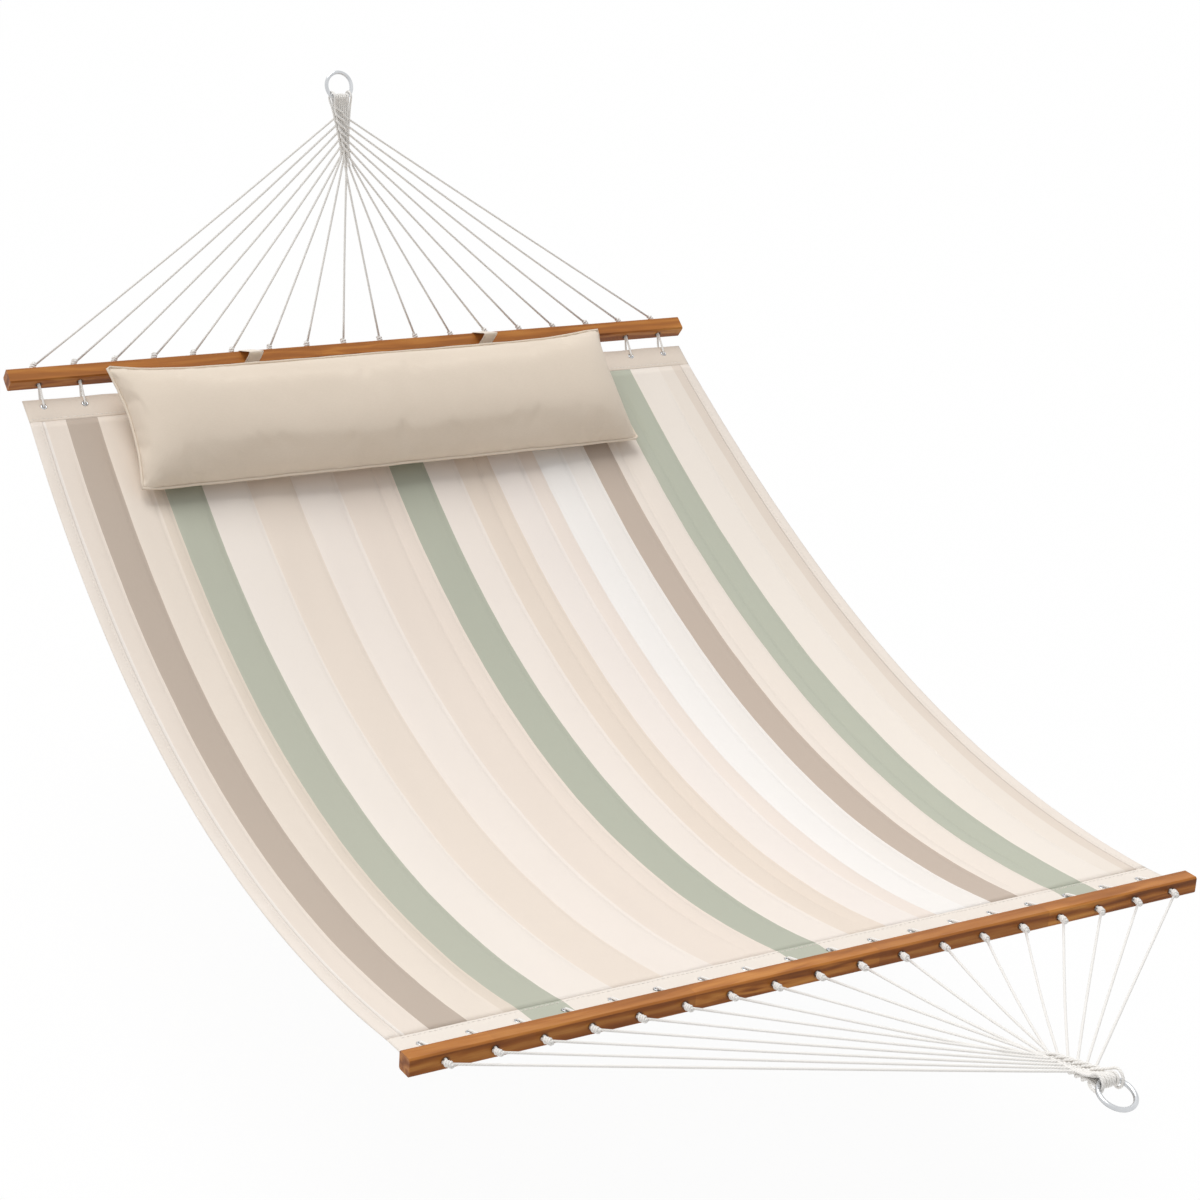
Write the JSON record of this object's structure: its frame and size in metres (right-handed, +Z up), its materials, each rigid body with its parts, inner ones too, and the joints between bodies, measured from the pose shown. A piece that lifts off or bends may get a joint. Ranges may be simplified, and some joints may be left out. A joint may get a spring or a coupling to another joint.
{
  "type": "quilted hammock with spreader bars",
  "caption": "Quilted striped hammock with wooden spreader bars, fanned cord harnesses plaited to steel rings, and a bolster pillow strapped to the head bar.",
  "frame": {"origin": "centre of the head ring, which hangs on a hook", "axes": "+Z up, +Y from the foot ring to the head ring, X along the spreader bars"},
  "size_m": [1.4113, 2.5826, 0.6104],
  "materials": {
    "ring_steel": "bright",
    "cotton_cord": "matt twisted cord",
    "stained_wood": "oiled, satin",
    "eyelet_metal": "satin",
    "striped_cloth": "matt weave",
    "wadding": "loose fibre",
    "back_cloth": "matt weave",
    "hem_cloth": "matt weave",
    "pillow_cloth": "matt weave",
    "pillow_fill": "loose fibre",
    "piping_cloth": "matt weave"
  },
  "bodies": {
    "bed": {"head_knots": "cotton_cord", "foot_knots": "cotton_cord", "head_spreader_bar": "stained_wood", "foot_spreader_bar": "stained_wood", "head_lacing": "cotton_cord", "foot_lacing": "cotton_cord", "head_eyelets": "eyelet_metal", "foot_eyelets": "eyelet_metal", "bed_top_cloth": "striped_cloth", "bed_wadding": "wadding", "bed_back_cloth": "back_cloth", "head_hem": "hem_cloth", "foot_hem": "hem_cloth", "left_side_hem": "hem_cloth", "right_side_hem": "hem_cloth", "left_pillow_strap": "pillow_cloth", "right_pillow_strap": "pillow_cloth"},
    "head_harness": {"head_clew": "cotton_cord", "head_harness_cords": "cotton_cord"},
    "foot_harness": {"foot_clew": "cotton_cord", "foot_harness_cords": "cotton_cord"},
    "head_ring_body": {"head_ring": "ring_steel"},
    "foot_ring_body": {"foot_ring": "ring_steel"},
    "pillow": {"pillow_cover": "pillow_cloth", "pillow_fill": "pillow_fill", "pillow_piping": "piping_cloth"}
  },
  "joints": [
    {"name": "head_harness_swing", "type": "hinge", "parent": "bed", "child": "head_harness", "pos_m": [0, -0.28477, -0.38566], "axis": [1, 0, 0], "range_deg": [-140.4, 69.6]},
    {"name": "foot_harness_swing", "type": "hinge", "parent": "bed", "child": "foot_harness", "pos_m": [0, -2.02892, -0.30572], "axis": [-1, 0, 0], "range_deg": [-123.3, 100.7]},
    {"name": "head_ring_turn", "type": "hinge", "parent": "head_harness", "child": "head_ring_body", "pos_m": [0, -0.0145, -0.01849], "axis": [1, 0, 0], "range_deg": [-80, 80]},
    {"name": "foot_ring_turn", "type": "hinge", "parent": "foot_harness", "child": "foot_ring_body", "pos_m": [0, -2.51106, 0], "axis": [-1, 0, 0], "range_deg": [-48, 112]},
    {"name": "pillow_lift", "type": "hinge", "parent": "bed", "child": "pillow", "pos_m": [0, -0.33931, -0.35183], "axis": [1, 0, 0], "range_deg": [-95, 0]}
  ]
}
